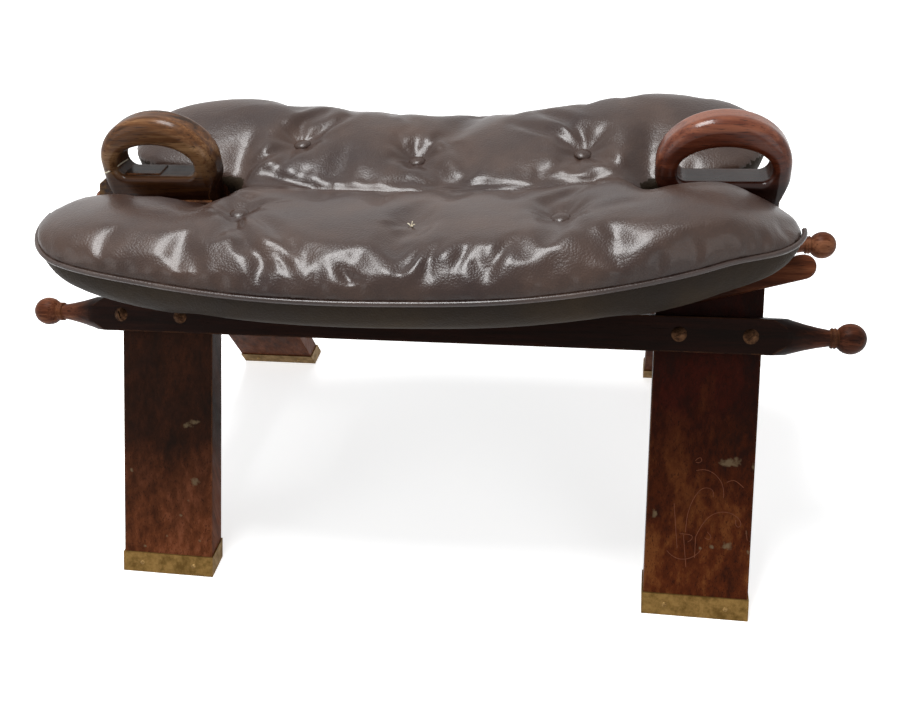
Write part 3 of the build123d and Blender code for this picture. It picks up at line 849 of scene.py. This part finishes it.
def dimple_depths(places):
    """How far the twines pull each place in plan down, with pleats that point at the button."""
    drop = np.zeros(len(places))
    for name, (x, y) in buttons.items():
        across, along = places[:, 0] - x, places[:, 1] - y
        reach = np.hypot(across, along)
        deep = dimple_depth * (lost_button_share if name == "front_middle" else 1.0)
        wave = np.sin(pleats_round * np.arctan2(along, across) + x)
        pleats = 1 + pleat_share * wave * np.clip(reach / pleats_full_at, 0, 1)
        drop += deep * np.exp(-((reach / dimple_width) ** dimple_fall)) * pleats
    return drop


def swells(places):
    """Broad unevenness of old padding under each place in plan, in millimetres."""
    x, y = places.T
    broad = np.sin(x / 27 + 1.3 * np.sin(y / 29))
    return broad_swell * broad + short_swell * np.sin(x / 9 + y / 14)


def gathers(point):
    """Small uneven pleats where the top is sewn to the piping, in metres along the normal."""
    up = point.z - seam_height(point.x, point.y)
    out = abs(point.y) - seam_distance(point.x, lobe_of(point.y))
    band = smooth(*gather_starts, up) * fades(*gather_ends, up)
    near = fades(*gather_reach, abs(out))
    wave = math.sin(point.x / (3.7 * mm)) + math.sin(point.x / (2.3 * mm) + 9 * point.y / mm / 40)
    return gather * band * near * wave


print("dimples", dimple_depth, "mm deep")

# %% [markdown]
# All of these move the skin's vertices along their normals. Folds and dimples are only for the top,
# which faces up and lies above the seam. The normals are read once, before anything moves, because
# Blender works them all out again each time one is read after a move.

# %% Press the skin
facing_up = 0.1  # of the normal's Z
under_seam = 12 * mm
mesh = cushion.data
places = places_of(mesh)
normals = places_of(mesh, "normal")
heights = np.array([seam_height(x, y) for x, y in places[:, :2]])
is_top = (normals[:, 2] > facing_up) & (places[:, 2] > heights - under_seam)
plan = places[:, :2] / mm
pressed = (dimple_depths(plan) + fold_depth(plan) + swells(plan)) * mm
moves = np.array([gathers(Vector(place)) for place in places])
places += normals * (moves - np.where(is_top, pressed, 0.0))[:, None].astype(np.float32)
mesh.vertices.foreach_set("co", places.ravel())
shade_smooth(mesh)
mesh.update()
print("deepest fold or dimple", round(float(pressed[is_top].max()) / mm, 1), "mm")

# %% [markdown]
# Leather on furniture is embossed with a fine pebble grain and finished with a glossy lacquer. The
# grain is a Voronoi pattern in the bump, fine wrinkles are a noise, and the colour is a dark brown
# that turns greyer where the lacquer is rubbed. A clear coat gives the broad highlight.


# %% Leather
def leather(name, dark, middle, worn, roughness, coat, shine=0.24):
    """Embossed leather in three shades, with a lacquer of some coat."""
    made, tree, shader = material(name)
    place = add(tree, "TexCoord").outputs["Object"]
    patches = grown(tree, place, 60, Detail=5.0, Roughness=0.6)
    wrinkles = grown(tree, place, 9, Detail=4.0, Roughness=0.55, Distortion=0.6)
    pebbles = add(tree, "TexVoronoi", {"Vector": place, "Scale": 1 / (1.6 * mm)}, feature="F1")
    grain = add(tree, "Bump", {"Height": pebbles.outputs["Distance"], "Strength": 0.7,
                               "Distance": 0.3 * mm}, invert=True)
    bump = add(tree, "Bump", {"Height": wrinkles, "Strength": 0.3, "Distance": 0.9 * mm,
                              "Normal": grain.outputs[0]})
    feed(tree, shader, {
        "Base Color": shades(tree, patches, ((0.3, dark), (0.5, middle), (0.72, worn))),
        "Roughness": level(tree, patches, 0.3, 0.7, roughness, roughness + 0.1),
        "Normal": bump.outputs[0], "Specular IOR Level": shine, "Coat Weight": coat,
        "Coat Roughness": 0.2,
    })
    return made


top_leather = leather("glossy_brown_leather", "271814", "33231c", "423027", 0.33, 0.25)
under_leather = leather("olive_brown_leather", "150d06", "1e150b", "2b2115", 0.6, 0.0, shine=0.12)
piping_leather = leather("piping_leather", "241815", "30221d", "43352e", 0.34, 0.4)
print("leather for the top, the underside and the piping")

# %% [markdown]
# The skin is one mesh with two leathers, so each face picks one: the top's above the seam and the
# underside's below it. At the crease the top leather goes further down. The cushion stands for the
# CAD solids of both covers and the filling, and rides on its own body.

# %% Dress the cushion
crease_width = 60 * mm
crease_depth = 20 * mm
cushion.data.materials.append(top_leather)
cushion.data.materials.append(under_leather)
for face in cushion.data.polygons:
    x, y, z = face.center
    in_crease = abs(x) < crease_end and abs(y) < crease_width
    face.material_index = 1 if z < seam_height(x, y) - (crease_depth if in_crease else 0) else 0
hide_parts("cushion_filling", "cushion_top_cover", "cushion_underside")
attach(cushion, "cushion")
print("cushion", len(cushion.data.polygons), "faces")

# %% [markdown]
# Piping is a cord in a strip of leather, sewn into the seam. It follows the seam of each lobe from
# tip to tip, so it is a curve through places on the seam, with a round bevel, made a mesh.


# %% Piping
def finished(piece, finish, body, *stands_for):
    """Gives a new piece its finish and body, and hides the CAD nodes it stands for."""
    piece.data.materials.clear()
    piece.data.materials.append(finish)
    shade_smooth(piece.data)
    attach(piece, body)
    if stands_for:
        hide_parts(*stands_for)


def tube(name, lines, radius, closed=False):
    """Round tubes through lines of places, as one mesh object."""
    curve = bpy.data.curves.new(name, "CURVE")
    curve.dimensions = "3D"
    curve.bevel_depth = radius
    curve.bevel_resolution = 2
    curve.resolution_u = 4
    curve.use_fill_caps = not closed
    for places in lines:
        spline = curve.splines.new("NURBS")
        spline.points.add(len(places) - 1)
        for point, place in zip(spline.points, places):
            point.co = (*place, 1.0)
        spline.order_u = 3
        spline.use_endpoint_u = not closed
        spline.use_cyclic_u = closed
    source = in_scene(name, curve)
    graph = bpy.context.evaluated_depsgraph_get()
    mesh = bpy.data.meshes.new_from_object(source.evaluated_get(graph))
    bpy.data.objects.remove(source)
    return in_scene(name, mesh)


piping_radius = 2.0 * mm
piping_stands_out = 0.8 * mm
piping_steps = 160


def seam_loop(side):
    """Places along a lobe's seam, from its left tip to its right one, closer at the tips."""
    left, right = lobe_ends(side)
    places = []
    for step in range(piping_steps + 1):
        x = between(left, right, (1 - math.cos(math.pi * step / piping_steps)) / 2)
        y = outward[side] * (seam_distance(x, side) + piping_stands_out)
        places.append((x, y, seam_height(x, y)))
    return places


for side in ("front", "rear"):
    piping = tube(f"piping_{side}", [seam_loop(side)], piping_radius)
    finished(piping, piping_leather, "cushion", f"cushion_piping_{side}")
print("piping of", round(2 * piping_radius / mm, 1), "mm round both lobes")

# %% [markdown]
# A covered button is a shallow metal dome with leather pulled over it. Its profile is spun round an
# upright axis, which makes a clean round form from a few points. A ray from above finds the bottom
# of its dimple, and the button leans half as far as the leather does there.

# %% Buttons
button_profile = ((0.0, 4.2), (3.5, 4.0), (6.2, 3.1), (7.9, 1.6), (8.3, 0.2), (7.4, -1.2),
                  (0.0, -1.6))
button_sides = 36
up = Vector((0, 0, 1))


def top_of_cushion(x, y):
    """Place and normal of the cushion's top, straight under a place in plan."""
    graph = bpy.context.evaluated_depsgraph_get()
    found = cushion.evaluated_get(graph).ray_cast(Vector((x, y, 1.0)), -up)
    return found[1], found[2]


def covered_button(name, x, y):
    """A button lying in its dimple."""
    place, normal = top_of_cushion(x, y)
    shape = bmesh.new()
    ring = [shape.verts.new((radius * mm, 0, z * mm)) for radius, z in button_profile]
    edges = [shape.edges.new(pair) for pair in zip(ring, ring[1:])]
    bmesh.ops.spin(shape, geom=ring + edges, cent=(0, 0, 0), axis=up, angle=2 * math.pi,
                   steps=button_sides, use_merge=True)
    bmesh.ops.remove_doubles(shape, verts=shape.verts, dist=0.01 * mm)
    bmesh.ops.recalc_face_normals(shape, faces=shape.faces)
    tilt = up.rotation_difference((normal + up).normalized()).to_matrix().to_4x4()
    bmesh.ops.transform(shape, matrix=Matrix.Translation(place) @ tilt, verts=shape.verts)
    return mesh_object(name, shape)


for name, (x, y) in buttons.items():
    if name != "front_middle":
        button = covered_button(f"button_{name}", x * mm, y * mm)
        finished(button, top_leather, "cushion", "cushion_buttons")
        round_off = button.modifiers.new("round", "SUBSURF")
        round_off.levels = round_off.render_levels = 1
print(len(buttons) - 1, "covered buttons")

# %% [markdown]
# Where the front middle button is lost, the cut ends of its twine stick out of the leather: a short
# pale tuft of a few fibres. Hair particles could make it, but four thin tubes are enough here.

# %% Twine stub
linen, tree, shader = material("linen_twine")
fibres = grown(tree, add(tree, "TexCoord").outputs["Object"], 0.8)
feed(tree, shader, {"Base Color": shades(tree, fibres, ((0.3, "b3a68c"), (0.7, "e0d8c4"))),
                    "Roughness": 0.85})
twine_radius = 0.45 * mm
twine_depth = 2 * mm  # of a strand's start under the leather
strand_bend = (0.2, 3.4)  # share of the way out and millimetres up, where a strand bends over
# How far the cut ends are from where the twine comes out, in millimetres.
cut_ends = ((3.5, -1.0, 4.2), (1.0, 2.5, 5.0), (-2.8, 1.5, 3.8), (2.0, -3.2, 3.5))
stub_x, stub_y = (value * mm for value in buttons["front_middle"])
root = top_of_cushion(stub_x, stub_y)[0] - up * twine_depth
share, rise = strand_bend
strands = [(root, root + Vector((x * share, y * share, rise)) * mm, root + Vector((x, y, z)) * mm)
           for x, y, z in cut_ends]
stub = tube("twine_stub", strands, twine_radius)
finished(stub, linen, "cushion", "cushion_twines")
print("twine stub of", len(strands), "strands")

# %% [markdown]
# A scroll of curling stems is scratched into the face of the right front leg. A painted bump could
# show it, but then the mesh would lack it. So each scratch is a fine strip of bare wood: a tube
# through its places, pressed almost flat into the face, and thinner than a sheet of paper.

# %% Scratched scroll
# Places of the scratches as X and Z on the front leg's face, in millimetres.
scratches = (
    ((222, 111), (225, 114), (227.5, 112), (225, 109), (222.5, 110)),
    ((223, 104), (229, 106), (239, 102), (245.5, 93), (245, 86)),
    ((237, 86), (238, 91), (230, 93), (224, 88), (219, 78), (217, 67), (217, 60)),
    ((247, 97), (251, 99), (255, 98), (260, 94)),
    ((225, 57), (228, 64), (235, 73), (244.5, 76.5), (254, 75), (260, 69.5), (258.6, 65.5),
     (255, 67), (255.4, 71)),
    ((207, 80), (209, 64), (211, 48)),
    ((215.5, 58), (218.6, 35)),
    ((225, 57), (225, 42)),
    ((203, 46), (207.5, 41), (219, 40), (229, 46), (229.6, 49)),
    ((212.5, 58.5), (222, 59), (223, 55), (219, 53)),
    ((234, 61), (238, 58), (235, 55), (232, 57)),
    ((263.5, 64), (265, 57)),
)
scratch_radius = 0.3 * mm
flattening = 0.8
bare_wood, tree, shader = material("scratched_bare_wood")
mottled = grown(tree, add(tree, "TexCoord").outputs["Object"], 6, Detail=3.0)
feed(tree, shader, {"Base Color": blend(tree, mottled, linear("34150a"), linear("80492e")),
                    "Roughness": 0.7, "Specular IOR Level": 0.2})
lines = [[Vector(on_front_face(x, z)) * mm for x, z in line] for line in scratches]
scroll = tube("scratched_scroll", lines, scratch_radius)
lean = math.radians(leg_splay)
out_of_face = Vector((0, -math.cos(lean), math.sin(lean)))
on_face = lines[0][0]
for vertex in scroll.data.vertices:
    vertex.co -= out_of_face * (vertex.co - on_face).dot(out_of_face) * flattening
finished(scroll, bare_wood, "frame")
print(len(scratches), "scratches")

# %% [markdown]
# A thin string is tied round the outer post of the left pommel. It is a closed tube that lies
# against the post, a little higher inside the loop than outside. Its plies are too fine to show.

# %% String
string_radius = 0.6 * mm
string_places = ((-282.5, -7, 306), (-277, -16.6, 309), (-269, -15, 312), (-266, -5, 313.5),
                 (-266, 6, 312), (-270, 15, 309), (-277, 16.6, 306), (-282.5, 6, 305))
line = [Vector(place) * mm for place in string_places]
string = tube("string", [line], string_radius, closed=True)
finished(string, linen, "frame")
print("string through", len(line), "places")
